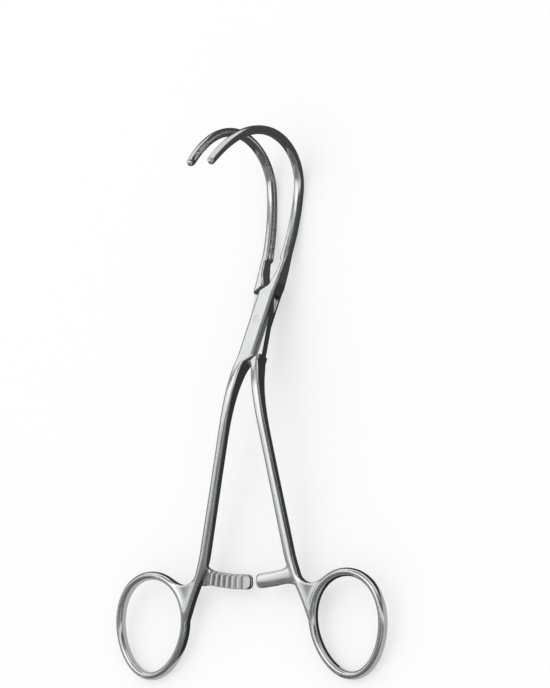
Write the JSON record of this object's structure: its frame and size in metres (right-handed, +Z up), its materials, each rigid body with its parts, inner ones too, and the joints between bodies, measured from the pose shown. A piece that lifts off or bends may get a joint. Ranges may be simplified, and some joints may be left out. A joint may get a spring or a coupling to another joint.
{
  "type": "ligature clamp",
  "caption": "Ring-handled steel ligature clamp with a box lock, passing ratchets and long jaws that hook over in a J, with toothed inner faces.",
  "frame": {"origin": "centre of the footprint, on the table", "axes": "X across the clamp towards the right-hand finger ring, Y along it from the rings to the jaws, Z up from the table, with the hooks standing up"},
  "size_m": [0.1398, 0.2194, 0.0568],
  "materials": {
    "box_arm_steel": "polished stainless steel",
    "through_arm_steel": "polished stainless steel",
    "pin_steel": "ground flush stainless steel"
  },
  "bodies": {
    "box_arm": {"box_arm": "box_arm_steel", "lock_pin": "pin_steel"},
    "through_arm": {"through_arm": "through_arm_steel"}
  },
  "joints": [
    {"name": "box_lock_hinge", "type": "hinge", "parent": "box_arm", "child": "through_arm", "pos_m": [0, 0.03306, 0.01144], "axis": [0, 0.252, 0.9677], "range_deg": [-10, 35]}
  ]
}
